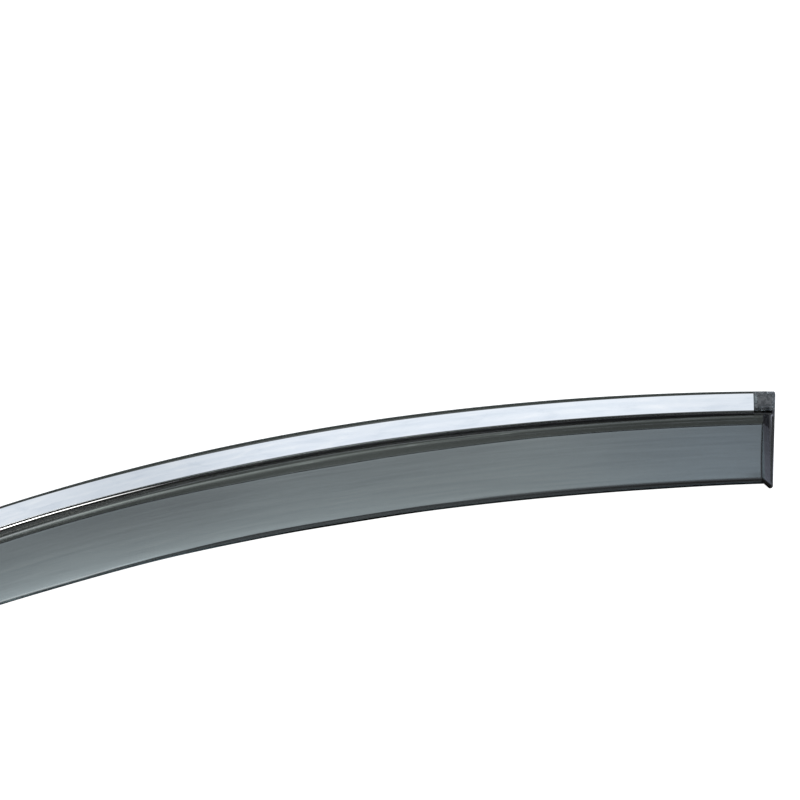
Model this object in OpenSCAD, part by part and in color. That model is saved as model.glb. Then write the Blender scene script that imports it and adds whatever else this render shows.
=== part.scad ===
// Window rain deflector for a car's side door. A smoke-tinted moulding carries a bright trim
// strip with a cap at each end, and is held to the door frame by foam tape.
// X runs along the door, +Y is towards the roof and +Z points away from the door.
// The arch is drawn with the point where its two radii meet at the origin, and is put level last.
// Sections are drawn as [distance below a line of the arch, height above the door frame].

/* [Arch] */
// Radius of the top edge towards the rear end
rear_r = 2190; // [2000:10:2600]
// Radius of the top edge towards the front end
front_r = 1780; // [1600:10:2000]
// Angle of the rear part
rear_arc = 8.33; // [6:0.01:9]
// Angle of the front part
front_arc = 16; // [13:0.1:18]
// Greatest width of the deflector, where the radii meet
width = 109; // [104:0.5:116]
// How much narrower it is at the rear end
rear_taper = 5; // [3:0.1:6]
// How much narrower it is at the front end
front_taper = 8.4; // [5:0.1:10]

/* [Flange] */
// Thickness of the mounting flange
flange_t = 2.2; // [1.8:0.1:3]
// Width of the raised rim along the top edge
rim_w = 1.6; // [1.2:0.1:2.4]
// Height of that rim above the flange
rim_h = 1.7; // [1:0.1:2.5]
// Width of the bare ledge between the trim strip and the shoulder
ledge_w = 4.4; // [4:0.1:6]

/* [Shoulder and face] */
// Thickness of the moulded wall
wall = 2.4; // [1.8:0.1:3]
// Width of the sloping shoulder, seen from above
shoulder_run = 16; // [12:0.1:24]
// Height that the shoulder gains
shoulder_rise = 8.5; // [6:0.5:12]
// How much closer to the top edge the shoulder is at the rear end
shoulder_taper = 3.9; // [2:0.1:4]
// Height that the face gains towards its lower edge
face_rise = 4; // [1:0.5:8]
// Height of the face's crown above a straight line
face_crown = 0.8; // [0.2:0.1:1.6]
// Radius of the break between shoulder and face
brow_r = 6; // [3:0.5:10]

/* [Lower lip] */
// Thickness of the lip along the lower edge
lip_t = 3.5; // [3.2:0.1:5]
// Width of the lip, seen from above
lip_w = 3.4; // [3:0.1:5]
// How far the lip stands above the face
lip_step = 0.3; // [0.2:0.05:0.5]
// How far each foot stops short of the lip
foot_setback = 2.6; // [1:0.1:4]

/* [Ends] */
// Width of the end flange at the top edge
end_flange_w = 6.8; // [6.2:0.1:9]
// Slope of the end walls
end_slope = 58; // [50:1:68]
// Lean of the outer end edge from square
end_lean = 2.2; // [1:0.1:4]
// Lean of the end wall from square
wall_lean = -0.5; // [-0.8:0.1:1]
// Radius of the outer corners
corner_r = 2.6; // [1:0.2:4]

/* [Trim strip] */
// Width of the bright strip
trim_w = 19.1; // [15:0.1:24]
// Thickness of its sheet metal
trim_t = 0.5; // [0.4:0.05:0.8]
// Gap between the rim and the ends of the strip
trim_gap = 1.3; // [0.8:0.1:2]
// How much wider that gap is where the radii meet
trim_taper = 1.7; // [0:0.1:2]
// Outer radius of its folded edges
trim_r = 1; // [0.9:0.1:1.5]
// Height of the raised bed under the strip
bed_h = 2.4; // [1.5:0.1:3]
// Thickness of the tape between bed and strip
trim_tape_t = 1.3; // [0.8:0.1:1.6]
// Space left under the strip's folded edges
fold_clear = 0.2; // [0.1:0.05:0.4]

/* [End caps] */
// Length of a cap's head
cap_l = 19.8; // [16:0.2:26]
// Width of a cap's head
cap_w = 18.1; // [17:0.1:19]
// Height of a cap's head above the flange
cap_h = 4.7; // [4.5:0.1:6]
// Wall of the cap around its pad
cap_wall = 2; // [1.4:0.1:2.6]
// Roof of the cap above its pad
cap_roof = 1.5; // [1:0.1:1.8]
// Radius of the cap's edges
cap_r = 1.2; // [0.6:0.1:1.4]
// Length of the tongue that the cap pushes into the strip
tongue_l = 8; // [5:0.5:12]
// Gap between the cap and the end of the strip
cap_gap = 0.3; // [0.1:0.1:0.6]

/* [Mounting tape] */
// Thickness of the foam tape
tape_t = 1; // [0.6:0.1:1.6]
// Thickness of the release liner on it
liner_t = 0.15; // [0.1:0.05:0.25]
// Width of the long tape under the top flange
tape_w = 12; // [8:0.5:15]
// Gap between that tape and the crease under the shoulder
tape_inset = 0.9; // [0.6:0.1:2]
// Width of the narrow tape under each end flange
end_tape_w = 2.4; // [2:0.1:3]
// Chamfer across the tape's cut corners
tape_chamfer = 1.6; // [0.8:0.2:2]
// Gap between the outer end edge and the narrow tape
edge_gap = 0.5; // [0.3:0.1:1.5]

/* [Hidden] */

arc_steps = 5;        // short lines in each rounded corner of a section
face_steps = 8;       // short lines across the crowned face
over = 20;            // how far a cutting block reaches past what it cuts
past = 6;             // how far the face is drawn past the lip before it is cut
side_clear = 0.25;    // side clearance of pieces that slide into one another

// Heights
flange_z = liner_t + tape_t;
flange_top = flange_z + flange_t;
rim_top = flange_top + rim_h;
brow_z = flange_top + shoulder_rise;
lip_z = brow_z + face_rise;
lip_top = lip_z + lip_step;
bed_top = flange_top + bed_h;
trim_under = bed_top + trim_tape_t;
trim_top = trim_under + trim_t;
cap_top = flange_top + cap_h;
pad_top = cap_top - cap_roof;
above = lip_z + face_crown + over;

// Distances below the top edge where the radii meet
trim_at = rim_w + trim_gap + trim_taper;
crease_at = trim_at + trim_w + ledge_w;
tape_at = crease_at - tape_inset - tape_w;

// Distances below the strip's upper edge
bed_at = trim_t + trim_r;
bed_end = trim_w - trim_t - trim_r;

// Distances below the top edge at either end
cap_at = rim_w + side_clear;
cap_end = cap_at + cap_w;
tongue_at = trim_at - trim_taper + bed_at;

// Lines of the arch: distance below the top edge, radius behind and radius in front
arcs = [rear_arc, front_arc];
top_line = [0, rear_r, front_r];
trim_line = [for (v = line_below(trim_at, trim_taper, trim_taper)) round(v * 10) / 10];
crease_line = line_below(crease_at, shoulder_taper, 0);
lower_line = line_below(width, rear_taper, front_taper);
tape_up = tape_inset + tape_w;
tape_line = [for (v = crease_line + [-tape_up, tape_up, tape_up]) round(v * 10) / 10];

// Angles of pieces that stop short of the ends
trim_arcs = angles_on(trim_line, cap_l + cap_gap);
bed_arcs = angles_on(trim_line, cap_l + cap_gap + tongue_l);
tape_arcs = angles_on(tape_line, corner_r);

// The raised form: its slope, face and inner surface, measured from the crease
shoulder_slope = atan(shoulder_rise / shoulder_run);
face_run = width - crease_at - shoulder_run - lip_w / 2;
face_end = shoulder_run + face_run;
inside_from = wall / sin(shoulder_slope) - flange_t / tan(shoulder_slope);
end_in = wall / sin(end_slope);

// Level and middle: the chord between the end corners is put along X
chord = end_corner(0) - end_corner(1);
tilt = atan2(chord[1], chord[0]);
high_y = (tilt > 0 ? front_r : rear_r) * (1 - cos(tilt));
low_y = min([for (i = [0, 1]) foot_low(i)]);
mid_x = (level(end_corner(0))[0] + level(end_corner(1))[0]) / 2;
mid_y = (high_y + low_y) / 2;

function level(p) = [p[0] * cos(tilt) + p[1] * sin(tilt), p[1] * cos(tilt) - p[0] * sin(tilt)];

// Angle about a line's own centre, where the top edge is short of its end by a length
function angle_on(i, line, short) =
    asin((top_line[i + 1] - line[0]) / line[i + 1] * sin(arcs[i] - short / top_line[i + 1] * 180 / PI));

function angles_on(line, short) = [angle_on(0, line, short), angle_on(1, line, short)];

// A line that starts at a depth where the radii meet and is nearer to the top edge at the ends
function line_below(depth, rear, front) =
    [depth, radius_through(0, depth, rear), radius_through(1, depth, front)];

function radius_through(i, depth, nearer) =
    let (r = top_line[i + 1] - depth + nearer,
         x = r * sin(arcs[i]),
         y = r * cos(arcs[i]) - top_line[i + 1] + depth)
    -(x * x + y * y) / (2 * y);

// Top corner of an end: 0 is the rear, 1 the front
function end_corner(i) =
    top_line[i + 1] * [(1 - 2 * i) * sin(arcs[i]), cos(arcs[i]) - 1];

// Length of the end's leaning edge, from the top corner down to the foot
function foot_length(i) =
    let (r = lower_line[i + 1] + foot_setback,
         x = top_line[i + 1] * sin(arcs[i]),
         y = top_line[i + 1] * (cos(arcs[i]) - 1) + width + lower_line[i + 1],
         lean = arcs[i] + end_lean,
         along = x * sin(lean) + y * cos(lean))
    along - sqrt(along * along - x * x - y * y + r * r);

// Lowest point of a foot's rounded corner, once the arch is level
function foot_low(i) =
    let (lean = arcs[i] + end_lean + (1 - 2 * i) * tilt)
    level(end_corner(i))[1] - foot_length(i) * cos(lean) + corner_r * (sin(lean) + cos(lean) - 1);

function unit(v) = v / norm(v);
function turn(from, to) = (to - from + 540) % 360 - 180;

// An arc of radius b[2] in place of the corner at b, between the lines to a and c
function rounded(a, b, c) =
    b[2] == 0 ? [[b[0], b[1]]] :
    let (corner = [b[0], b[1]],
         u = unit([a[0], a[1]] - corner),
         v = unit([c[0], c[1]] - corner),
         half = acos(u * v) / 2,
         centre = corner + unit(u + v) * b[2] / sin(half),
         first = corner + u * b[2] / tan(half) - centre,
         last = corner + v * b[2] / tan(half) - centre,
         start = atan2(first[1], first[0]),
         sweep = turn(start, atan2(last[1], last[0])))
    [for (i = [0:arc_steps])
        centre + b[2] * [cos(start + sweep * i / arc_steps), sin(start + sweep * i / arc_steps)]];

// A closed outline through points of [x, y, corner radius]
function outline(points) =
    let (n = len(points))
    [for (i = [0:n - 1]) each rounded(points[(i + n - 1) % n], points[i], points[(i + 1) % n])];

// Points across the crowned face, lowered by drop
function face_line(drop) =
    [for (i = [1:face_steps - 1])
        let (t = i / face_steps)
        [shoulder_run + face_run * t, brow_z + face_rise * t + 4 * face_crown * t * (1 - t) - drop, 0]];

// Distance of the long tape below the top edge at an end
function end_tape_at(i) = tape_at - (1 - i) * shoulder_taper;

function reversed(points) = [for (i = [len(points) - 1:-1:0]) points[i]];

// Where the end wall stands at a height, counted inwards from the end's edge
function end_wall_at(z) = -end_flange_w - (z - flange_top) / tan(end_slope);

// Rim and flange, below the top edge
flange_section = outline([
    [0, flange_z, 0.3], [0, rim_top, 0.7], [rim_w, rim_top, 0.7], [rim_w, flange_top, 0.3],
    [crease_at - shoulder_taper - 1, flange_top, 0], [crease_at - shoulder_taper - 1, flange_z, 0]]);

// Shoulder and face, below the crease, with the inside of the wall
form_section = outline(concat(
    [[-6, flange_z, 0], [-6, flange_top, 0], [0, flange_top, 0.8], [shoulder_run, brow_z, brow_r]],
    face_line(0),
    [[face_end, lip_z, 0], [face_end + past, lip_z, 0],
     [face_end + past, lip_z - wall, 0], [face_end, lip_z - wall, 0]],
    reversed(face_line(wall)),
    [[shoulder_run + wall * tan(shoulder_slope / 2), brow_z - wall, brow_r - wall / 2],
     [inside_from, flange_z, 0]]));

// What an end wall fills, up to the middle of the moulding's wall
end_wall_section = concat(
    [[0, flange_z], [0, flange_z + flange_t / 2],
     [shoulder_run + wall / 2 * tan(shoulder_slope / 2), brow_z - wall / 2]],
    [for (p = face_line(wall / 2)) [p[0], p[1]]],
    [[face_end, lip_z - wall / 2], [face_end + past, lip_z - wall / 2],
     [face_end + past, flange_z]]);

// The lip, above the lower edge
lip_section = outline([
    [-lip_w, lip_top - lip_t, 0.3], [0, lip_top - lip_t, 1.4],
    [0, lip_top, 1.4], [-lip_w, lip_top, 0.2]]);

// A section carried along one part of a line of the arch, between two angles from the middle
module along_part(i, line, from, to, section) {
    mirror([i, 0, 0])
    translate([0, -line[0] - line[i + 1], 0])
    rotate([0, 0, 90 - to])
    rotate_extrude(angle = to - from, $fn = 256)
    polygon([for (p = section) [line[i + 1] - p[0], p[1]]]);
}

// A section carried along both parts, outwards from the middle
module along(line, arcs, section) {
    union()
    for (i = [0, 1])
        mirror([1 - i, 0, 0])
        translate([0, -line[0] - line[i + 1], 0])
        rotate([0, 0, 90])
        rotate_extrude(angle = arcs[i], $fn = 256)
        polygon([for (p = section) [line[i + 1] - p[0], p[1]]]);
}

// The frame of an end: its origin is the top corner and -Y runs down the leaning edge
module at_end(i, lean) {
    mirror([i, 0, 0])
    translate([top_line[i + 1] * sin(arcs[i]), top_line[i + 1] * (cos(arcs[i]) - 1), 0])
    rotate([0, 0, -arcs[i] - lean])
    children();
}

// What is below a line that is parallel to the lower edge
module below_edge(i, inset) {
    along_part(i, lower_line, -2, angle_on(i, lower_line, -3 * over), [
        [-inset, -over], [2 * over, -over], [2 * over, above], [-inset, above]]);
}

// A profile of [outwards, height] carried down the end, over its whole depth
module down_end(profile) {
    translate([0, over, 0])
    rotate([90, 0, 0])
    linear_extrude(height = width + 2 * over)
    polygon(profile);
}

// What is outside an end's edge, with its two rounded corners
module beyond_end(i) {
    low = -foot_length(i);
    translate([0, 0, -over])
    linear_extrude(height = above + over)
    polygon(outline([
        [-over, over, 0], [-over, 0, 0], [0, 0, corner_r], [0, low, corner_r],
        [-corner_r - 1, low + (corner_r + 1) * tan(end_lean), 0], [-corner_r - 1, low - over, 0],
        [2 * over, low - over, 0], [2 * over, over, 0]]));
}

// What is above the end flange and outside the end wall
module above_end_flange() {
    down_end(outline([
        [2 * over, flange_top, 0], [-end_flange_w, flange_top, 0.8],
        [end_wall_at(above), above, 0], [2 * over, above, 0]]));
}

// The end wall and all outside it
module end_wall_block() {
    down_end([
        [2 * over, 0], [end_wall_at(0) - end_in, 0],
        [end_wall_at(above) - end_in, above], [2 * over, above]]);
}

// The moulding on one side of the point where the radii meet
module body_side(i) {
    difference() {
        union() {
            along_part(i, top_line, -1, angle_on(i, top_line, -over), flange_section);
            difference() {
                along_part(i, crease_line, -1, angle_on(i, crease_line, -over), form_section);
                below_edge(i, lip_w / 2);
            }
            along_part(i, lower_line, -1, angle_on(i, lower_line, -over), lip_section);
            intersection() {
                difference() {
                    along_part(i, crease_line, angle_on(i, crease_line, 4 * over),
                        angle_on(i, crease_line, -over), end_wall_section);
                    below_edge(i, foot_setback);
                }
                at_end(i, wall_lean) end_wall_block();
            }
        }
        at_end(i, wall_lean) above_end_flange();
        at_end(i, end_lean) beyond_end(i);
        mirror([i, 0, 0])
        translate([-4 * over, -width - over, -over])
        cube([4 * over, width + 2 * over, above + over]);
    }
}

module visor_body() {
    color([0.30, 0.33, 0.35, 0.75])
    union() {
        body_side(0);
        body_side(1);
        along(trim_line, bed_arcs, outline([
            [bed_at, flange_top - 1, 0], [bed_at, bed_top, 0.4],
            [bed_end, bed_top, 0.4], [bed_end, flange_top - 1, 0]]));
    }
}

// One folded channel, open towards the flange
module trim_strip() {
    low = flange_top + fold_clear;
    color([0.88, 0.91, 0.95])
    along(trim_line, trim_arcs, outline([
        [0, low, 0], [0, trim_top, trim_r], [trim_w, trim_top, trim_r], [trim_w, low, 0],
        [trim_w - trim_t, low, 0], [trim_w - trim_t, trim_under, trim_r - trim_t],
        [trim_t, trim_under, trim_r - trim_t], [trim_t, low, 0]]));
}

module trim_tape() {
    color([0.16, 0.17, 0.18])
    along(trim_line, bed_arcs, [
        [bed_at + 0.5, bed_top], [bed_end - 0.5, bed_top],
        [bed_end - 0.5, trim_under], [bed_at + 0.5, trim_under]]);
}

// Side of a cap at the end's edge, which leans with it
function cap_side(depth) = -depth * tan(end_lean) - side_clear;

// The rounded block of the cap's head
module cap_head() {
    intersection() {
        translate([0, 0, flange_top])
        linear_extrude(height = cap_h)
        polygon(outline([
            [-cap_l, -cap_at, cap_r], [cap_side(cap_at), -cap_at, 2 * cap_r],
            [cap_side(cap_end), -cap_end, 2 * cap_r], [-cap_l, -cap_end, cap_r]]));
        // rounded along its two long edges
        translate([over, 0, 0])
        rotate([90, 0, -90])
        linear_extrude(height = cap_l + 2 * over)
        polygon(outline([
            [cap_at - 1, flange_z, 0], [cap_at, flange_top, 0], [cap_at, cap_top, cap_r],
            [cap_end, cap_top, cap_r], [cap_end, flange_top, 0], [cap_end + 1, flange_z, 0]]));
        // rounded across its two short edges
        down_end(outline([
            [-cap_l, flange_z, 0], [-cap_l, cap_top, cap_r],
            [cap_side(0) - cap_end * tan(end_lean) / 2, cap_top, cap_r],
            [over, flange_z, 0]]));
    }
}

module end_cap(i) {
    color([0.24, 0.27, 0.30, 0.85])
    at_end(i, 0) {
        difference() {
            cap_head();
            translate([-cap_l / 2 - pad_l / 2, -pad_at - pad_w, flange_top - 1])
            cube([pad_l, pad_w, pad_top - flange_top + 1]);
        }
        translate([-cap_l - tongue_l, -tongue_at - tongue_w, flange_top])
        cube([tongue_l + cap_r + 0.5, tongue_w, trim_under - flange_top - side_clear]);
    }
}

pad_l = cap_l - 3 * cap_wall;
pad_w = cap_w - 2 * cap_wall;
pad_at = cap_at + cap_wall;
tongue_w = cap_end - tongue_at - cap_r;

module end_cap_rear() end_cap(0);

module end_cap_front() end_cap(1);

// The foam pad that sticks a cap to the flange
module cap_pad(i) {
    color([0.12, 0.13, 0.14])
    at_end(i, 0)
    translate([side_clear - cap_l / 2 - pad_l / 2, side_clear - pad_at - pad_w, flange_top])
    cube([pad_l - 2 * side_clear, pad_w - 2 * side_clear, pad_top - flange_top]);
}

module cap_pad_rear() cap_pad(0);

module cap_pad_front() cap_pad(1);

// A strip of the long tape, or of its liner, between two heights
module top_strip(low, high) {
    difference() {
        along(tape_line, tape_arcs, [[0, low], [tape_w, low], [tape_w, high], [0, high]]);
        for (i = [0, 1])
            at_end(i, 0)
            for (depth = [0, tape_w])
                translate([-corner_r, -end_tape_at(i) - depth, 0])
                rotate([0, 0, 45])
                cube([tape_chamfer * sqrt(2), tape_chamfer * sqrt(2), over], center = true);
    }
}

// The same for the straight tape down an end flange
module end_strip(i, low, high) {
    top = -end_tape_at(i) - tape_w - 2;
    bottom = 2 * corner_r - foot_length(i);
    at_end(i, end_lean)
    translate([0, 0, low])
    linear_extrude(height = high - low)
    polygon([
        [-edge_gap - end_tape_w, top], [-edge_gap - end_tape_w, bottom + tape_chamfer],
        [-edge_gap - end_tape_w + tape_chamfer, bottom], [-edge_gap, bottom], [-edge_gap, top]]);
}

module mounting_tape_top() { color([0.15, 0.16, 0.17]) top_strip(liner_t, flange_z); }

module mounting_tape_rear() { color([0.15, 0.16, 0.17]) end_strip(0, liner_t, flange_z); }

module mounting_tape_front() { color([0.15, 0.16, 0.17]) end_strip(1, liner_t, flange_z); }

module liner_top() { color([0.80, 0.82, 0.82]) top_strip(0, liner_t); }

module liner_rear() { color([0.80, 0.82, 0.82]) end_strip(0, 0, liner_t); }

module liner_front() { color([0.80, 0.82, 0.82]) end_strip(1, 0, liner_t); }

translate([-mid_x, -mid_y, 0])
rotate([0, 0, -tilt]) {
    visor_body();
    trim_strip();
    trim_tape();
    end_cap_front();
    end_cap_rear();
    cap_pad_front();
    cap_pad_rear();
    mounting_tape_top();
    mounting_tape_front();
    mounting_tape_rear();
    liner_top();
    liner_front();
    liner_rear();
}
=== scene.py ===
import bmesh
import bpy
import numpy as np
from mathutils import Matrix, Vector


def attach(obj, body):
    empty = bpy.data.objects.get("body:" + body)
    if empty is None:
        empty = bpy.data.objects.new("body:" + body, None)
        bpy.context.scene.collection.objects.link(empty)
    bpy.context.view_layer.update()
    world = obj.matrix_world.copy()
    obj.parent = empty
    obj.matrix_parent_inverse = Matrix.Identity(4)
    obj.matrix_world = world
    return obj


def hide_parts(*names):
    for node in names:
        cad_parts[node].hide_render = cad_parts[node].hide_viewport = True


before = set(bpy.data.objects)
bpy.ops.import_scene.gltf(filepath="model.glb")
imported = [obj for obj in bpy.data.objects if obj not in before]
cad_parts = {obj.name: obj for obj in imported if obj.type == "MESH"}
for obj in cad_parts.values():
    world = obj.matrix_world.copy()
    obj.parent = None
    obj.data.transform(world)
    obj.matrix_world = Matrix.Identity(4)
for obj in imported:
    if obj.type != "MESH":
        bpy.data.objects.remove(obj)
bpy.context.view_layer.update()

# Camera
# The photograph looks down on the lower edge at 57 degrees, from so far that nothing narrows with
# distance. It shows 720 mm of the arch, and the front end runs out of the picture on the left.
AZIMUTH, ELEVATION = np.radians(-11.65), np.radians(57.0)
FAR = 12.0                                            # m from the middle of the picture
FIELD = 0.72                                          # m of the scene across the picture
SENSOR = 36.0                                         # mm
towards = Vector((0.07232, 0.08906, 0.0))
back = Vector((np.sin(AZIMUTH) * np.cos(ELEVATION), -np.cos(AZIMUTH) * np.cos(ELEVATION),
               np.sin(ELEVATION)))
camera = bpy.data.objects.new("camera", bpy.data.cameras.new("camera"))
bpy.context.scene.collection.objects.link(camera)
camera.data.sensor_width = SENSOR
camera.data.lens = SENSOR * FAR / FIELD
camera.data.clip_end = 60.0
camera.location = towards + back * FAR
camera.rotation_mode = "QUATERNION"
camera.rotation_quaternion = (-back).to_track_quat("-Z", "Y")
bpy.context.scene.camera = camera

# Table and light
# A plain white table under a wide overcast sky. The sky is pale overhead, where the bright strip
# mirrors it, and dark low down, where the shoulder does. A small softbox in front of the lower
# edge draws the white line along the strip's foot.
def shader(name):
    """A new material, and the maker of its nodes."""
    made = bpy.data.materials.new(name)
    made.use_nodes = True
    made.node_tree.nodes.clear()
    return made, joiner(made.node_tree)


def joiner(tree):
    """The maker of a tree's nodes."""
    def add(kind, *sockets, **settings):
        """A node of that kind; each socket is a value, or another node's output to link."""
        node = tree.nodes.new("ShaderNode" + kind)
        for key, value in settings.items():
            setattr(node, key, value)
        for key, value in sockets:
            socket = node.inputs[key]
            if isinstance(value, bpy.types.NodeSocket):
                tree.links.new(value, socket)
            else:
                socket.default_value = value
        return node
    return add


def ramp(node, stops):
    """Colour stops of (place, colour) on a colour ramp node, eased from one to the next."""
    line = node.color_ramp
    line.interpolation = "EASE"
    while len(line.elements) < len(stops):
        line.elements.new(0.5)
    for element, (place, colour) in zip(line.elements, stops):
        element.position = place
        element.color = (*colour, 1.0)
    return node


sky = bpy.data.worlds.new("overcast")
sky.use_nodes = True
sky.node_tree.nodes.clear()
add = joiner(sky.node_tree)
way = add("TexCoord").outputs["Generated"]
split = add("SeparateXYZ", ("Vector", way))
bright_part = Vector((0.11, 0.53, 0.84)).normalized()
near = add("VectorMath", ("Vector", way), operation="DOT_PRODUCT")
near.inputs[1].default_value = bright_part
patch = ramp(add("ValToRGB", ("Fac", near.outputs["Value"])), [
    (0.12, (0.045, 0.045, 0.05)), (0.60, (0.26, 0.27, 0.29)), (0.86, (0.70, 0.74, 0.80)),
    (0.97, (0.84, 0.89, 0.95)), (1.0, (0.86, 0.91, 0.97))])
low = ramp(add("ValToRGB", ("Fac", split.outputs["Z"])), [
    (0.0, (0.10, 0.088, 0.075)), (0.10, (0.13, 0.118, 0.105)), (0.42, (0.24, 0.23, 0.22)),
    (0.69, (1.0, 1.0, 1.0))])
clouds = ramp(add("ValToRGB", ("Fac", add(
    "TexNoise", ("Vector", way), ("Scale", 26.0), ("Detail", 5.0), ("Roughness", 0.55)
).outputs["Fac"])), [(0.32, (0.94, 0.955, 0.97)), (0.66, (1.04, 1.035, 1.03))])
lamp_way = Vector((0.40, -0.74, 0.56)).normalized()
facing = add("VectorMath", ("Vector", way), operation="DOT_PRODUCT")
facing.inputs[1].default_value = lamp_way
lamp = add("MapRange", ("Value", facing.outputs["Value"]), ("From Min", 0.975), ("From Max", 0.993),
           ("To Min", 0.0), ("To Max", 5.0))


def times(first, second):
    """Product of two colour outputs."""
    node = add("Mix", data_type="RGBA", blend_type="MULTIPLY")
    node.inputs[0].default_value = 1.0
    node.id_data.links.new(first, node.inputs[6])
    node.id_data.links.new(second, node.inputs[7])
    return node.outputs[2]


shown = add("Background", ("Color", (1.0, 1.0, 1.0, 1.0)), ("Strength", 1.0))
lit = add("Background", ("Color", times(times(patch.outputs[0], low.outputs[0]), clouds.outputs[0])),
          ("Strength", 1.0))
softbox = add("Background", ("Color", (1.0, 0.98, 0.95, 1.0)), ("Strength", lamp.outputs[0]))
lights = add("AddShader", (0, lit.outputs[0]), (1, softbox.outputs[0]))
which = add("MixShader", (0, add("LightPath").outputs["Is Camera Ray"]),
            (1, lights.outputs[0]), (2, shown.outputs[0]))
add("OutputWorld", ("Surface", which.outputs[0]))
bpy.context.scene.world = sky

table = bpy.data.meshes.new("table")
table.from_pydata([(-20, -20, -0.0003), (20, -20, -0.0003), (20, 20, -0.0003), (-20, 20, -0.0003)],
                  [], [(0, 1, 2, 3)])
table = bpy.data.objects.new("table", table)
bpy.context.scene.collection.objects.link(table)
table_white, add = shader("table_white")
path = add("LightPath")
glow_strength = add("MapRange", ("Value", path.outputs["Is Camera Ray"]),
                    ("To Min", 0.55), ("To Max", 1.0))
glow = add("Emission", ("Color", (1.0, 1.0, 1.0, 1.0)), ("Strength", glow_strength.outputs[0]))
matt = add("BsdfDiffuse", ("Color", (0.85, 0.85, 0.85, 1.0)))
pale = add("AddShader", (0, glow.outputs[0]), (1, matt.outputs[0]))
# painted dark reflection: mirror rays see the table dark
mirrored = add("Emission", ("Color", (0.05, 0.047, 0.045, 1.0)))
only_mirrored = add("Math", (0, path.outputs["Is Glossy Ray"]), (1, path.outputs["Is Transmission Ray"]),
                    operation="SUBTRACT", use_clamp=True)
add("OutputMaterial", ("Surface", add("MixShader", (0, only_mirrored.outputs[0]),
    (1, pale.outputs[0]), (2, mirrored.outputs[0])).outputs[0]))
table.data.materials.append(table_white)

bpy.context.scene.view_settings.view_transform = "Standard"

# Smoke-tinted moulding
# One injection-moulded acrylic shell: a flange with a raised rim, a sloping shoulder, a crowned
# face that ends in a thicker lip, and an end wall with its own flange and foot at each end.
SIDES = (1.0, -1.0)                                   # 1 towards the rear end, -1 towards the front
ARCH_R = np.array([2190.0, 1780.0])                   # mm, radius of the top edge on each side
ARCH_ANGLE = np.radians([8.33, 16.0])
WIDTH, NARROWER = 109.0, (5.0, 8.4)
FLANGE_Z, FLANGE_TOP = 1.15, 3.35
RIM_W, RIM_TOP = 1.6, 5.05
STRIP_AT, STRIP_NARROWER = 5.3, (1.7, 1.7)
CREASE_AT, CREASE_NARROWER = 28.1, (3.9, 0.0)
WALL = 2.4
SHOULDER_RUN, BROW_Z, BROW_R = 16.0, 11.85, 6.0
FACE_RISE, FACE_CROWN = 4.0, 0.8
LIP_W, LIP_T, LIP_TOP, FOOT_BACK = 3.4, 3.5, 16.15, 2.6
FACE_END = WIDTH - LIP_W
END_FLANGE, END_SLOPE = 6.8, np.radians(58.0)
EDGE_LEAN, WALL_LEAN = np.radians(2.2), np.radians(-0.5)
LEAN_OVER = 60.0                                      # mm at each end that turn to the leaning edge
CORNER_R = 2.6


def line_radii(depth, narrower):
    """Radii of the arcs that start at a depth where the two parts meet and end nearer to the top
    edge: the circle through both points whose centre is on the meeting line."""
    r = ARCH_R - depth + np.array(narrower)
    x, y = r * np.sin(ARCH_ANGLE), r * np.cos(ARCH_ANGLE) - ARCH_R + depth
    return -(x * x + y * y) / (2 * y)


LOWER = (WIDTH, line_radii(WIDTH, NARROWER))
CREASE = (CREASE_AT, line_radii(CREASE_AT, CREASE_NARROWER))
STRIP = (STRIP_AT, line_radii(STRIP_AT, STRIP_NARROWER))
ARC_LENGTH = ARCH_R * ARCH_ANGLE
corner = np.stack([ARCH_R * np.sin(ARCH_ANGLE) * SIDES, ARCH_R * (np.cos(ARCH_ANGLE) - 1)], -1)
TILT = np.arctan2(*(corner[0] - corner[1])[::-1])


def level(p):
    """Plan points of the arch turned so that the chord between its end corners lies along X."""
    c, s = np.cos(TILT), np.sin(TILT)
    return np.stack([p[..., 0] * c + p[..., 1] * s, p[..., 1] * c - p[..., 0] * s], -1)


def down_to(line, t, n, side):
    """Distance from top-edge points t along directions n to a line of the arch: the nearer root
    of the ray's crossing with the line's circle."""
    depth, radii = line
    r = np.where(side > 0, radii[0], radii[1])
    e = t - np.stack([np.zeros_like(r), -depth - r], -1)
    along = -(e * n).sum(-1)
    return along - np.sqrt(along ** 2 - (e * e).sum(-1) + r * r)


def ribs(along):
    """Top-edge points and inward directions for arc lengths from the meeting point, mm: positive
    to the rear. The last stretch turns gradually to the end's leaning edge."""
    side = np.where(along >= 0, 1.0, -1.0)
    r = np.where(side > 0, ARCH_R[0], ARCH_R[1])
    a = np.abs(along) / r
    left = np.where(side > 0, ARC_LENGTH[0], ARC_LENGTH[1]) - np.abs(along)
    lean = EDGE_LEAN * np.clip(1 - left / LEAN_OVER, 0, 1)
    t = np.stack([side * r * np.sin(a), r * (np.cos(a) - 1)], -1)
    n = np.stack([-side * np.sin(a + lean), -np.cos(a + lean)], -1)
    return t, n, side, left


low_point = []
for k, s in enumerate(SIDES):
    t, n, side, _ = ribs(np.array([s * ARC_LENGTH[k]]))
    foot = down_to(LOWER, t, n, side) - FOOT_BACK
    lean = ARCH_ANGLE[k] + EDGE_LEAN + s * TILT
    low_point.append(level(corner[k])[1] - foot[0] * np.cos(lean)
                     + CORNER_R * (np.sin(lean) + np.cos(lean) - 1))
MIDDLE = np.array([(level(corner[0])[0] + level(corner[1])[0]) / 2,
                   (ARCH_R[1] * (1 - np.cos(TILT)) + min(low_point)) / 2])


def soft_min(a, b, k):
    """The lower of two heights, with the corner between them rounded over k."""
    h = np.clip(0.5 + 0.5 * (b - a) / k, 0, 1)
    return b * (1 - h) + a * h - k * h * (1 - h)


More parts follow.
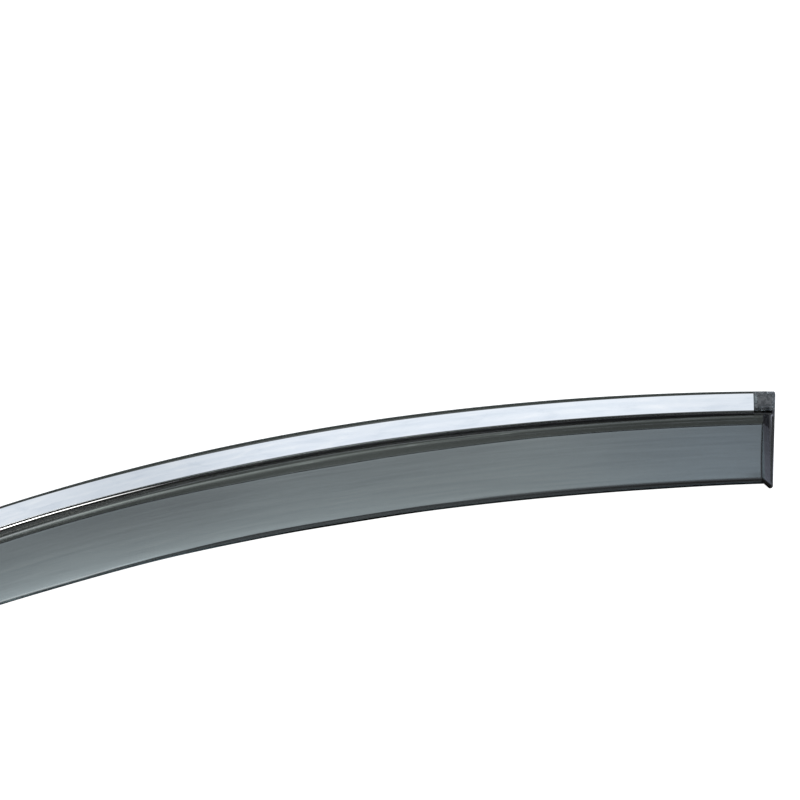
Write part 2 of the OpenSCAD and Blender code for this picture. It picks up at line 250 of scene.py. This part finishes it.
def rounded(points, steps):
    """An open outline through points of (x, y, radius), with an arc at each corner that has one."""
    out = []
    for i, (x, y, r) in enumerate(points):
        here = np.array([x, y])
        if r == 0:
            out.append(here[None])
            continue
        u = np.array(points[i - 1][:2]) - here
        v = np.array(points[(i + 1) % len(points)][:2]) - here
        u, v = u / np.linalg.norm(u), v / np.linalg.norm(v)
        half = np.arccos(np.clip(u @ v, -1, 1)) / 2
        centre = here + (u + v) / np.linalg.norm(u + v) * r / np.sin(half)
        first, last = here + u * r / np.tan(half) - centre, here + v * r / np.tan(half) - centre
        a0 = np.arctan2(first[1], first[0])
        sweep = (np.arctan2(last[1], last[0]) - a0 + np.pi) % (2 * np.pi) - np.pi
        a = a0 + sweep * np.linspace(0, 1, steps + 1)
        out.append(centre + r * np.stack([np.cos(a), np.sin(a)], -1))
    return np.concatenate(out)


def face_height(w):
    """Height of the crowned face: a straight rise plus a parabola."""
    t = (w - CREASE_AT - SHOULDER_RUN) / (FACE_END - CREASE_AT - SHOULDER_RUN)
    return BROW_Z + FACE_RISE * t + 4 * FACE_CROWN * t * (1 - t)


def outer_profile():
    """Outside of the wall from the lip's underside up to the rim's foot, as (distance, height)."""
    brow = CREASE_AT + SHOULDER_RUN
    points = [(WIDTH - FOOT_BACK, LIP_TOP - LIP_T, 0), (WIDTH, LIP_TOP - LIP_T, 0.6)]
    # the lip: a quarter of an ellipse up to its crown, then a slight fall to the face
    crown, crown_h = FACE_END + 2.2, 1.6
    a = np.linspace(0, np.pi / 2, 9)
    rim = crown + (WIDTH - crown) * np.cos(a)
    points += [(w, h, 0) for w, h in zip(rim, LIP_TOP - crown_h + crown_h * np.sin(a))]
    points += [(w, LIP_TOP - 0.26 * (crown - w), 0) for w in (crown - 0.5, crown - 1.2, crown - 1.9)]
    face = np.concatenate([[FACE_END, FACE_END - 0.3, FACE_END - 0.7],
                           np.linspace(FACE_END, brow + 3.2, 40)[1:]])
    points += [(w, h, 0) for w, h in zip(face, face_height(face))]
    slope = np.linspace(brow - 3.2, CREASE_AT + 1.6, 16)
    rise = (BROW_Z - FLANGE_TOP) / SHOULDER_RUN
    points += [(brow, BROW_Z, BROW_R)]
    points += [(w, FLANGE_TOP + rise * (w - CREASE_AT), 0) for w in slope]
    points += [(CREASE_AT, FLANGE_TOP, 3.2)]
    points += [(w, FLANGE_TOP, 0) for w in np.linspace(CREASE_AT - 1.6, RIM_W + 1, 14)]
    points += [(RIM_W, FLANGE_TOP, 0.3), (RIM_W, RIM_TOP, 0.7), (0, RIM_TOP, 0.7), (0, FLANGE_Z, 0.3)]
    next_point = [(8, FLANGE_Z, 0)]
    return rounded(points + next_point, 6)[:-1]


def inner_profile():
    """Inside of the wall from the flange's underside back to the lip's."""
    slope = np.arctan((BROW_Z - FLANGE_TOP) / SHOULDER_RUN)
    rise = np.tan(slope)
    start = CREASE_AT + WALL / np.sin(slope) - (FLANGE_TOP - FLANGE_Z) / rise
    brow = CREASE_AT + SHOULDER_RUN + WALL * np.tan(slope / 2)
    face = np.linspace(brow + 3, FACE_END, 34)
    points = [(2, FLANGE_Z, 0)] + [(w, FLANGE_Z, 0) for w in np.linspace(4, start - 1.5, 10)]
    points += [(start, FLANGE_Z, 0.4)]
    points += [(w, FLANGE_Z + rise * (w - start), 0) for w in np.linspace(start + 1.2, brow - 3, 12)]
    points += [(brow, BROW_Z - WALL, BROW_R - WALL)]
    points += [(w, h - WALL, 0) for w, h in zip(face, face_height(face))]
    points += [(FACE_END, LIP_TOP - LIP_T, 0), (WIDTH - FOOT_BACK, LIP_TOP - LIP_T, 0)]
    return rounded(points, 6)


def end_distance(p, side):
    """Distance of plan points inwards from the straight edge that leans as the end wall does."""
    k = np.where(side > 0, 0, 1)
    a = ARCH_ANGLE[k] + WALL_LEAN
    e = p - corner[k]
    return -(np.cos(a) * e[..., 0] * side - np.sin(a) * e[..., 1])


BROW_AT = CREASE_AT + SHOULDER_RUN
# mm: places along the arch, and the shoulder's width there, which shrinks towards the front end
STATIONS = np.array([-497, -366, -271, -177, -85, 6, 97, 196, 318])
RUNS = np.array([12.4, 13.0, 14.3, 17.1, 17.9, 16.7, 15.0, 14.9, 15.0])
# distance of the painted highlight line on the shoulder, mm, at the same places
LINE_AT = np.array([34.0, 34.0, 33.2, 33.5, 32.6, 31.9, 31.0, 31.0, 31.2])


def step_up(x, start, end):
    """0 below start, 1 above end, and a smooth cubic between them."""
    t = np.clip((x - start) / (end - start), 0, 1)
    return t * t * (3 - 2 * t)


def bump(x, middle, width):
    """1 at the middle, and less on both sides: e to the power of minus the square of the distance
    in widths."""
    return np.exp(-((x - middle) / width) ** 2)


def blend(first, second, share):
    """From the first to the second by a share of 0 to 1."""
    return first + (second - first) * share


def place(w, along):
    """Distances in millimetres of section points on ribs: they are kept in the rim, crease, brow
    and lip and stretched between them to meet each line of the arch. The lip's outer edge waves
    out or in by some tenths of a millimetre, and lies just inside its arc at the ends."""
    t, n, side, left = ribs(along)
    crease, lower = down_to(CREASE, t, n, side), down_to(LOWER, t, n, side)
    run = np.interp(along, STATIONS, RUNS)
    knots = np.array([0, 5, CREASE_AT - 3, CREASE_AT + 1, BROW_AT - 2, BROW_AT + 8, FACE_END - 1, WIDTH])
    d = np.stack([np.interp(w, knots, [0, 5, c - 3, c + 1, c + r - 2, c + r + 8, l - LIP_W - 1, l])
                  for c, l, r in zip(crease, lower, run)])
    at_ends = -0.12
    proud = 0.25 - 0.7 * bump(along, -271, 60) + 0.6 * bump(along, -85, 50)
    proud = blend(at_ends, proud, step_up(left, 40, 130))
    d = d + proud[:, None] * step_up(w, FACE_END + 0.5, WIDTH - 0.5)[None]
    return d, t[:, None], n[:, None], side[:, None], left[:, None], lower[:, None]


def moulding_columns():
    """Rib places along the arch, close together at the ends, where the walls slope."""
    ends = []
    for k, s in enumerate(SIDES):
        fine = np.concatenate([CORNER_R * (1 - np.cos(np.linspace(0, np.pi / 2, 8))),
                               np.arange(3.0, 22.0, 0.4), np.linspace(22.5, 62, 16)])
        ends.append(s * (ARC_LENGTH[k] - fine))
    middle = np.linspace(ends[1].max() + 4, ends[0].min() - 4, 150)
    return np.concatenate([ends[1], middle, ends[0][::-1]])


def lip_start(front):
    """Distance at which the lip's painted shade starts: steps outwards towards the front end."""
    return (FACE_END - 1.6 + 1.3 * step_up(front, 0.40, 0.62) - 0.3 * step_up(front, 0.66, 0.75)
            + 3.2 * np.clip((front - 0.75) / 0.25, 0, 1) ** 1.4)


def face_tint_and_painted_light(w, along, front, down):
    """The face: blended by a power of the way down from a darker smoke colour under the brow to a
    lighter one near the lip, painted shade under the brow and painted light that gets in under the lip;
    times painted highlights beside the brow and the lip, and a painted shade at the lower rear corner."""
    # painted shade under the brow (high) and painted light near the lip (low)
    high = (0.285 + 0.085 * step_up(along, -240, -130) - 0.05 * step_up(along, 250, 330)
            + 0.045 * (1 - step_up(along, -400, -300))) * (1 + 0.10 * bump(along, 97, 60))
    low = 0.42 + 0.18 * front + 0.04 * front ** 10
    from_lip = w - lip_start(front)
    # painted highlight lines beside the lip, brightest at the front
    painted_lip_highlight = (1 + 0.12 * front * bump(from_lip, -2.2, 1.8)
                  + 1.3 * step_up(front, 0.86, 1.0) * bump(from_lip, -0.9, 0.7))
    # painted highlight beside the brow
    painted_brow_highlight = 1 + 0.22 * bump(w, BROW_AT + 1.4, 1.6)
    # painted shade at the lower rear corner
    painted_corner_shade = 1 - 0.3 * bump(along, 303, 12) * bump(down, 0.93, 0.05)
    return blend(high, low, down ** 1.6) * painted_brow_highlight * painted_lip_highlight * painted_corner_shade


def shoulder_tint_and_painted_light(w, along, front):
    """The shoulder: dark with painted shade, plus a bump for a painted highlight line that is sharp
    above, soft below, and widest and brightest at the front, and small bumps for three painted glints on
    it."""
    # painted shade over the shoulder
    base = 0.12 + 0.09 * bump(along, -60, 230)
    # the painted highlight line at its brightest
    peak = 0.22 + 0.34 * front + 0.60 * front ** 5
    below = w - np.interp(along, STATIONS, LINE_AT)
    off_line = np.where(below < 0, below / 0.6,
                        np.clip(below - 0.6 * front ** 5, 0, None) / (1.3 + 1.9 * front))
    tint_and_painted_light = blend(base, peak, bump(off_line, 0, 1))
    # three painted glints on the highlight line
    for glint, depth, length in ((-113, 35.0, 14), (-16, 33.0, 5), (70, 32.6, 6)):
        tint_and_painted_light = tint_and_painted_light + 0.3 * bump(along, glint, length) * bump(w, depth, 0.7)
    return tint_and_painted_light


def flange_tint_and_painted_light(w, front, tint_and_painted_light):
    """The colour with the flange's put in: a clear ledge, lighter towards the front end, with painted
    shade beside the crease towards the rear, painted shade on the bed in the gap between the rim and the
    strip's edge, and the rim, with painted shade on its inner side."""
    # painted shade beside the crease towards the rear
    painted_crease_shade = (1 - step_up(front, 0.30, 0.55)) * step_up(w, CREASE_AT - 2.8, CREASE_AT - 1.8)
    tint_and_painted_light = np.where(w < CREASE_AT - 0.5, (0.60 + 0.38 * front ** 6) * (1 - 0.85 * painted_crease_shade), tint_and_painted_light)
    # painted shade in the gap between the rim and the strip
    tint_and_painted_light = np.where(w < STRIP_AT - 0.1, 0.2, tint_and_painted_light)
    # painted shade on the rim's inner side
    return np.where(w < RIM_W + 0.1, 0.46 - 0.22 * step_up(w, 0.5, 1.2), tint_and_painted_light)


def lip_tint_and_painted_shade(w, front):
    """The lip: dark with painted shade, a darker painted shade line where it starts, and clearer on its
    vertical edge.
    """
    # painted shade: the dark lip
    body = (0.03 + 0.07 * front - 0.035 * (1 - step_up(front, 0.15, 0.5))
            + 0.5 * step_up(w, WIDTH - 0.7, WIDTH))
    # painted shade line where the lip starts
    return body * (1 - 0.6 * bump(w, lip_start(front), 0.7))


def end_tint_and_painted_light(e, down, on_face):
    """The end wall and its flange, by the distance e from the end's edge: a wall with painted shade that
    lightens further down and a painted shade line at its foot, and a dark flange with two painted
    highlight lines."""
    # painted shade on the wall, lighter further down, and a painted shade line at its foot
    wall = (0.06 + 0.13 * on_face + 0.20 * down ** 1.5) * (1 - 0.75 * bump(e, 5.8, 0.9))
    # two painted highlight lines on the end flange
    flange = 0.10 + 0.5 * bump(e, 4.1, 0.8) + 0.14 * (1 - down) * bump(e, 1.0, 0.7)
    return blend(flange, wall, step_up(e, 4.6, 5.2))


def moulding_tint_and_painted_light(w, along, e, is_outer):
    """Red, green and blue shares of the light that the outer skin lets through at each place, beside
    what the wall's thickness takes, squared because the shader takes their root: the smoke's colour with
    painted shade and painted highlights in it, olive in the flange and shoulder, blue-grey on the face,
    and violet, a painted sky reflection, over its rear third and the end walls."""
    front = np.clip(0.5 - along / 700, 0, 1)[:, None]
    along = along[:, None]
    down = np.clip((w - BROW_AT) / (FACE_END - BROW_AT), 0, 1)[None]
    w = w[None]
    on_face = step_up(w, BROW_AT - 1.2, BROW_AT + 0.8)
    tint_and_painted_light = blend(shoulder_tint_and_painted_light(w, along, front), face_tint_and_painted_light(w, along, front, down), on_face)
    tint_and_painted_light = flange_tint_and_painted_light(w, front, tint_and_painted_light)
    start, lip = lip_start(front), lip_tint_and_painted_shade(w, front)
    tint_and_painted_light = blend(tint_and_painted_light, lip, step_up(w, start - 0.3, start + 0.3))
    at_end = (1 - step_up(e, END_FLANGE + 4.6, END_FLANGE + 5.8)) * (w > RIM_W + 0.5)
    tint_and_painted_light = blend(tint_and_painted_light, np.minimum(end_tint_and_painted_light(e, down, on_face), np.where(w > start, lip, 1)), at_end)
    # violet: a painted sky reflection colour
    violet = np.maximum(step_up(along, 60, 300) * on_face, at_end)
    olive = (1 - on_face) * (1 - at_end)
    cast = np.stack([0.90 + 0.05 * olive - 0.14 * violet + 0.05 * at_end,
                     0.985 + 0.015 * olive - 0.10 * violet - 0.07 * at_end,
                     1 - 0.06 * olive - 0.02 * violet], -1)
    # the smoke colour with its painted shade and highlights, as the share the skin lets through
    through = np.clip(tint_and_painted_light[..., None] * cast, 0.01, 1) ** 2
    underside = np.arange(w.shape[1]) == 0
    return np.where((is_outer & ~underside)[None, :, None], through, 1.0)


def moulding_grid():
    """The closed skin of the moulding: the section carried along the arch, its outside cut down
    to the end wall's slope and its inside to the same slope one wall further in."""
    outer, inner = outer_profile(), inner_profile()
    section = np.concatenate([outer, inner])
    is_outer = np.arange(len(section)) < len(outer)
    along = moulding_columns()
    d, t, n, side, left, lower = place(section[:, 0], along)
    z = np.broadcast_to(section[:, 1], d.shape).copy()
    plan = t + d[..., None] * n
    e = end_distance(plan, side)
    slope = np.tan(END_SLOPE)
    out_h = FLANGE_TOP + (e - END_FLANGE) * slope
    in_h = FLANGE_TOP + (e - END_FLANGE - WALL / np.sin(END_SLOPE)) * slope
    out_h = -soft_min(-out_h, -FLANGE_TOP, 0.8)
    in_h = -soft_min(-in_h, -FLANGE_Z, 0.8)
    top = soft_min(z, out_h, 0.9)
    z = np.where(is_outer, np.where(z > FLANGE_TOP + 0.01, np.maximum(top, FLANGE_TOP), z),
                 np.where(z > FLANGE_Z + 0.01, np.maximum(soft_min(z, in_h, 0.9), FLANGE_Z), z))
    foot = lower - FOOT_BACK
    d = np.where(is_outer & (out_h < LIP_TOP - LIP_T + 0.2), np.minimum(d, foot), d)
    # the two rounded corners of each end, seen from above
    bite = CORNER_R - np.sqrt(np.clip(CORNER_R ** 2 - np.clip(CORNER_R - left, 0, None) ** 2, 0, None))
    d = np.where(d < 8, bite + d * (8 - bite) / 8, d)
    d = np.where((d > foot - 8) & (d <= foot + 1e-6), foot - bite - (foot - d) * (8 - bite) / 8, d)
    plan = level(t + d[..., None] * n) - MIDDLE
    tint_and_painted_light = moulding_tint_and_painted_light(section[:, 0], along, e, is_outer)
    return np.concatenate([plan, z[..., None]], -1), along, section, tint_and_painted_light


SHARP = float(np.radians(35.0))                       # an edge that turns more stays a crease


def skin(name, grid, material, along, section, tint_and_painted_light=None):
    """A closed mesh from a grid of points whose rows are ribs round a closed section, with an end
    face on the first and last rib, normals outwards and creases kept sharp. Its UV map is the
    distance along the arch and round the section, in metres."""
    rows, cols = grid.shape[:2]
    index = np.arange(rows * cols).reshape(rows, cols)
    a, b = index[:-1], index[1:]
    quads = np.stack([a, np.roll(a, -1, 1), np.roll(b, -1, 1), b], -1).reshape(-1, 4)
    faces = quads.tolist() + [index[0, ::-1].tolist(), index[-1].tolist()]
    mesh = bpy.data.meshes.new(name)
    mesh.from_pydata((grid.reshape(-1, 3) / 1000).tolist(), [], faces)
    across = np.concatenate([[0], np.cumsum(np.linalg.norm(np.diff(section, axis=0), axis=1))])
    uv = np.stack(np.broadcast_arrays(along[:, None] / 1000, across[None] / 1000), -1)
    layer = mesh.uv_layers.new(name="along_and_across")
    corner_of = np.zeros(len(mesh.loops), np.int64)
    mesh.loops.foreach_get("vertex_index", corner_of)
    layer.data.foreach_set("uv", uv.reshape(-1, 2)[corner_of].ravel().astype(np.float32))
    if tint_and_painted_light is not None:
        colours = mesh.attributes.new("tint_and_painted_light", "FLOAT_COLOR", "POINT")
        rgba = np.concatenate([tint_and_painted_light.reshape(-1, 3), np.ones((tint_and_painted_light.size // 3, 1))], -1)
        colours.data.foreach_set("color", rgba.ravel().astype(np.float32))
    work = bmesh.new()
    work.from_mesh(mesh)
    bmesh.ops.remove_doubles(work, verts=work.verts, dist=2e-6)
    bmesh.ops.dissolve_degenerate(work, edges=work.edges, dist=1e-6)
    bmesh.ops.recalc_face_normals(work, faces=work.faces)
    for edge in work.edges:
        edge.smooth = len(edge.link_faces) == 2 and edge.calc_face_angle(0) < SHARP
    for face in work.faces:
        face.smooth = True
    work.to_mesh(mesh)
    work.free()
    made = bpy.data.objects.new(name, mesh)
    bpy.context.scene.collection.objects.link(made)
    mesh.materials.append(material)
    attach(made, "root")
    return made


smoke, add = shader("smoke_acrylic")
where = add("UVMap", uv_map="along_and_across").outputs[0]
stretched = add("Mapping", ("Vector", where), ("Scale", (8.0, 190.0, 1.0))).outputs[0]
flow = add("TexNoise", ("Vector", stretched), ("Scale", 1.0), ("Detail", 5.0), ("Roughness", 0.65))
polish = add("MapRange", ("Value", flow.outputs["Fac"]), ("From Min", 0.3), ("From Max", 0.7),
             ("To Min", 0.015), ("To Max", 0.07))
drawn = add("Bump", ("Strength", 0.25), ("Distance", 0.0002), ("Height", flow.outputs["Fac"]))
streaks = ramp(add("ValToRGB", ("Fac", flow.outputs["Fac"])), [
    (0.32, (0.80, 0.81, 0.82)), (0.68, (1.0, 1.0, 1.0))])
# the per-point colour holds the smoke tint with painted shade, highlights and reflection colours
shaded = times(add("Attribute", attribute_name="tint_and_painted_light").outputs["Color"], streaks.outputs[0])
acrylic = add("BsdfPrincipled", ("Base Color", shaded), ("IOR", 1.49),
              ("Transmission Weight", 1.0), ("Roughness", polish.outputs[0]),
              ("Normal", drawn.outputs[0]))
smoke_depth = add("VolumeAbsorption", ("Color", (0.85, 0.87, 0.875, 1.0)), ("Density", 1000.0))
add("OutputMaterial", ("Surface", acrylic.outputs[0]), ("Volume", smoke_depth.outputs[0]))

grid, along, section, tint_and_painted_light = moulding_grid()
moulding = skin("moulding", grid, smoke, along, section, tint_and_painted_light)
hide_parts("visor_body")

# Bright strip
# A folded channel of mirror-bright stainless sheet, held down on foam tape. Its long folds are
# soft, the one beside the face turns out at its foot, and it stops just short of each end's cap.
STRIP_W, STRIP_T, STRIP_R = 18.8, 0.5, 0.6
STRIP_TOP, FOLD_LOW = 7.55, 3.55
FLARE_OUT, FLARE_H, FLARE_LOW = 0.5, 0.47, 0.48       # the front fold's turned-out foot
CAP_L, CAP_GAP = 19.8, 0.3
# mm that the strip was laid below its true arc, at the moulding's stations
LAID_BELOW = np.array([0, -0.6, 0, 0.5, 0.45, 0.1, 0, -0.1, 0])


def strip_grid():
    """The channel's section, a closed outline of top, folds and underside, carried along the
    strip's own arc, square to the top edge."""
    outer = [(0, FOLD_LOW, 0), (0, STRIP_TOP, STRIP_R), (STRIP_W, STRIP_TOP, STRIP_R),
             (STRIP_W, FOLD_LOW + FLARE_LOW + FLARE_H, 0.1),
             (STRIP_W + FLARE_OUT, FOLD_LOW + FLARE_LOW, 0), (STRIP_W + FLARE_OUT, FOLD_LOW, 0),
             (STRIP_W - STRIP_T, FOLD_LOW, 0),
             (STRIP_W - STRIP_T, STRIP_TOP - STRIP_T, STRIP_R - STRIP_T),
             (STRIP_T, STRIP_TOP - STRIP_T, STRIP_R - STRIP_T), (STRIP_T, FOLD_LOW, 0)]
    section = rounded(outer, 8)
    ends = [s * (ARC_LENGTH[k] - CAP_L - CAP_GAP) for k, s in enumerate(SIDES)]
    along = np.linspace(ends[1], ends[0], 260)
    t, _, side, _ = ribs(along)
    a = np.abs(along) / np.where(side > 0, *ARCH_R)
    n = np.stack([-side * np.sin(a), -np.cos(a)], -1)
    first = down_to(STRIP, t, n, side) + np.interp(along, STATIONS, LAID_BELOW)
    plan = t[:, None] + (first[:, None] + section[None, :, 0])[..., None] * n[:, None]
    plan = level(plan) - MIDDLE
    z = np.broadcast_to(section[:, 1], plan.shape[:2])
    return np.concatenate([plan, z[..., None]], -1), along, section


bright, add = shader("bright_stainless")
where = add("UVMap", uv_map="along_and_across").outputs[0]
rolled = add("TexNoise", ("Vector", add("Mapping", ("Vector", where), ("Scale", (14.0, 60.0, 1.0))
             ).outputs[0]), ("Scale", 1.0), ("Detail", 3.0), ("Roughness", 0.5))
gloss = add("MapRange", ("Value", rolled.outputs["Fac"]), ("From Min", 0.3), ("From Max", 0.7),
            ("To Min", 0.03), ("To Max", 0.075))
wave = add("Bump", ("Strength", 0.03), ("Distance", 0.0004), ("Height", rolled.outputs["Fac"]))
# painted reflection: mottle of mirrored clouds in the steel's colour
painted_cloud_reflection = add("TexNoise", ("Vector", add("Mapping", ("Vector", where), ("Scale", (26.0, 90.0, 1.0))
           ).outputs[0]), ("Scale", 1.0), ("Detail", 4.0), ("Roughness", 0.6), ("Distortion", 0.5))
silver = ramp(add("ValToRGB", ("Fac", painted_cloud_reflection.outputs["Fac"])), [
    (0.32, (0.86, 0.885, 0.915)), (0.50, (0.935, 0.95, 0.97)), (0.68, (1.0, 1.0, 1.0))])
place_along = add("MapRange", ("Value", add("SeparateXYZ", ("Vector", where)).outputs["X"]),
                  ("From Min", -0.5), ("From Max", 0.32))
# painted reflection: darker and lighter stretches along the strip
painted_reflection_along = ramp(add("ValToRGB", ("Fac", place_along.outputs[0])), [
    (0.12, (0.88, 0.88, 0.88)), (0.28, (0.77, 0.775, 0.78)), (0.48, (0.96, 0.96, 0.965)),
    (0.80, (1.0, 1.0, 1.0)), (0.96, (0.93, 0.93, 0.93))])
steel = add("BsdfPrincipled", ("Base Color", times(silver.outputs["Color"], painted_reflection_along.outputs["Color"])),
            ("Metallic", 1.0),
            ("Roughness", gloss.outputs[0]), ("Normal", wave.outputs[0]))
add("OutputMaterial", ("Surface", steel.outputs[0]))

grid, along, section = strip_grid()
strip = skin("bright_strip", grid, bright, along, section)
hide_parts("trim_strip")

# Foam tapes
# Brown-grey closed-cell foam, die-cut: the long tape and its two short ones under the flange, and the
# tape under the strip.
foam, add = shader("closed_cell_foam")
where = add("TexCoord").outputs["Object"]
cells = add("TexVoronoi", ("Vector", where), ("Scale", 2600.0))
grey = ramp(add("ValToRGB", ("Fac", cells.outputs["Distance"])), [
    (0.0, (0.20, 0.176, 0.150)), (0.6, (0.42, 0.375, 0.325))])
pits = add("Bump", ("Strength", 0.5), ("Distance", 0.0001), ("Height", cells.outputs["Distance"]))
matt = add("BsdfPrincipled", ("Base Color", grey.outputs["Color"]), ("Roughness", 0.85),
           ("Normal", pits.outputs[0]))
add("OutputMaterial", ("Surface", matt.outputs[0]))
for name in ("trim_tape", "mounting_tape_top", "mounting_tape_front", "mounting_tape_rear"):
    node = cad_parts[name]
    node.data.materials.clear()
    node.data.materials.append(foam)

# Release liners
# Thin pale film on the tapes' faces, peeled off when the deflector is fitted.
film, add = shader("liner_film")
where = add("TexCoord").outputs["Object"]
mottle = add("TexNoise", ("Vector", where), ("Scale", 90.0), ("Detail", 3.0))
pale = ramp(add("ValToRGB", ("Fac", mottle.outputs["Fac"])), [
    (0.3, (0.56, 0.58, 0.57)), (0.7, (0.64, 0.65, 0.63))])
paper = add("BsdfPrincipled", ("Base Color", pale.outputs["Color"]), ("Roughness", 0.45))
add("OutputMaterial", ("Surface", paper.outputs[0]))
for name in ("liner_top", "liner_front", "liner_rear"):
    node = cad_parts[name]
    node.data.materials.clear()
    node.data.materials.append(film)

# End caps
# Smoke-tinted plastic caps with rolled-over edges, pressed over the strip's ends and stuck down by
# grey pads that show through them.
cap_smoke, add = shader("cap_acrylic")
where = add("TexCoord").outputs["Object"]
swirl = add("TexNoise", ("Vector", where), ("Scale", 210.0), ("Detail", 2.0), ("Distortion", 0.8))
ripple = add("Bump", ("Strength", 0.6), ("Distance", 0.0005), ("Height", swirl.outputs["Fac"]))
clouded = ramp(add("ValToRGB", ("Fac", swirl.outputs["Fac"])), [
    (0.40, (0.38, 0.42, 0.46)), (0.56, (0.92, 0.96, 1.0))])
clear = add("BsdfPrincipled", ("Base Color", clouded.outputs["Color"]), ("IOR", 1.49),
            ("Transmission Weight", 0.8), ("Roughness", 0.03), ("Normal", ripple.outputs[0]))
cap_depth = add("VolumeAbsorption", ("Color", (0.94, 0.95, 0.955, 1.0)), ("Density", 1000.0))
add("OutputMaterial", ("Surface", clear.outputs[0]), ("Volume", cap_depth.outputs[0]))


CAP_EDGE_R = 0.0005                                   # m
FLAT, CORNER, CAP_SHARP = (float(np.radians(a)) for a in (1.0, 25.0, 40.0))


def rolled_over(name, source):
    """A copy of a CAD solid, merged, its flat faces made whole, and every corner edge rolled over
    to the caps' edge radius."""
    work = bmesh.new()
    work.from_mesh(source.data)
    bmesh.ops.remove_doubles(work, verts=work.verts, dist=1e-6)
    bmesh.ops.dissolve_limit(work, angle_limit=FLAT, verts=work.verts, edges=work.edges)
    turning = [e for e in work.edges if len(e.link_faces) == 2 and e.calc_face_angle(0) > CORNER]
    bmesh.ops.bevel(work, geom=turning, offset=CAP_EDGE_R, segments=3, profile=0.5, affect="EDGES",
                    clamp_overlap=True)
    bmesh.ops.recalc_face_normals(work, faces=work.faces)
    for face in work.faces:
        face.smooth = True
    for edge in work.edges:
        edge.smooth = len(edge.link_faces) == 2 and edge.calc_face_angle(0) < CAP_SHARP
    mesh = bpy.data.meshes.new(name)
    work.to_mesh(mesh)
    work.free()
    made = bpy.data.objects.new(name, mesh)
    bpy.context.scene.collection.objects.link(made)
    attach(made, "root")
    return made


for end in ("front", "rear"):
    cap = rolled_over("cap_" + end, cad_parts["end_cap_" + end])
    cap.data.materials.append(cap_smoke)
    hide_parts("end_cap_" + end)

pad_foam, add = shader("grey_pad_foam")
where = add("TexCoord").outputs["Object"]
wetting = add("TexNoise", ("Vector", where), ("Scale", 260.0), ("Detail", 4.0), ("Roughness", 0.6))
stuck = ramp(add("ValToRGB", ("Fac", wetting.outputs["Fac"])), [
    (0.40, (0.30, 0.335, 0.37)), (0.60, (0.95, 0.97, 0.99))])
soft = add("BsdfPrincipled", ("Base Color", stuck.outputs["Color"]), ("Roughness", 0.8),
           ("Normal", add("Bump", ("Strength", 0.4), ("Distance", 0.0002),
                          ("Height", wetting.outputs["Fac"])).outputs[0]))
add("OutputMaterial", ("Surface", soft.outputs[0]))
for name in ("cap_pad_front", "cap_pad_rear"):
    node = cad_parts[name]
    node.data.materials.clear()
    node.data.materials.append(pad_foam)
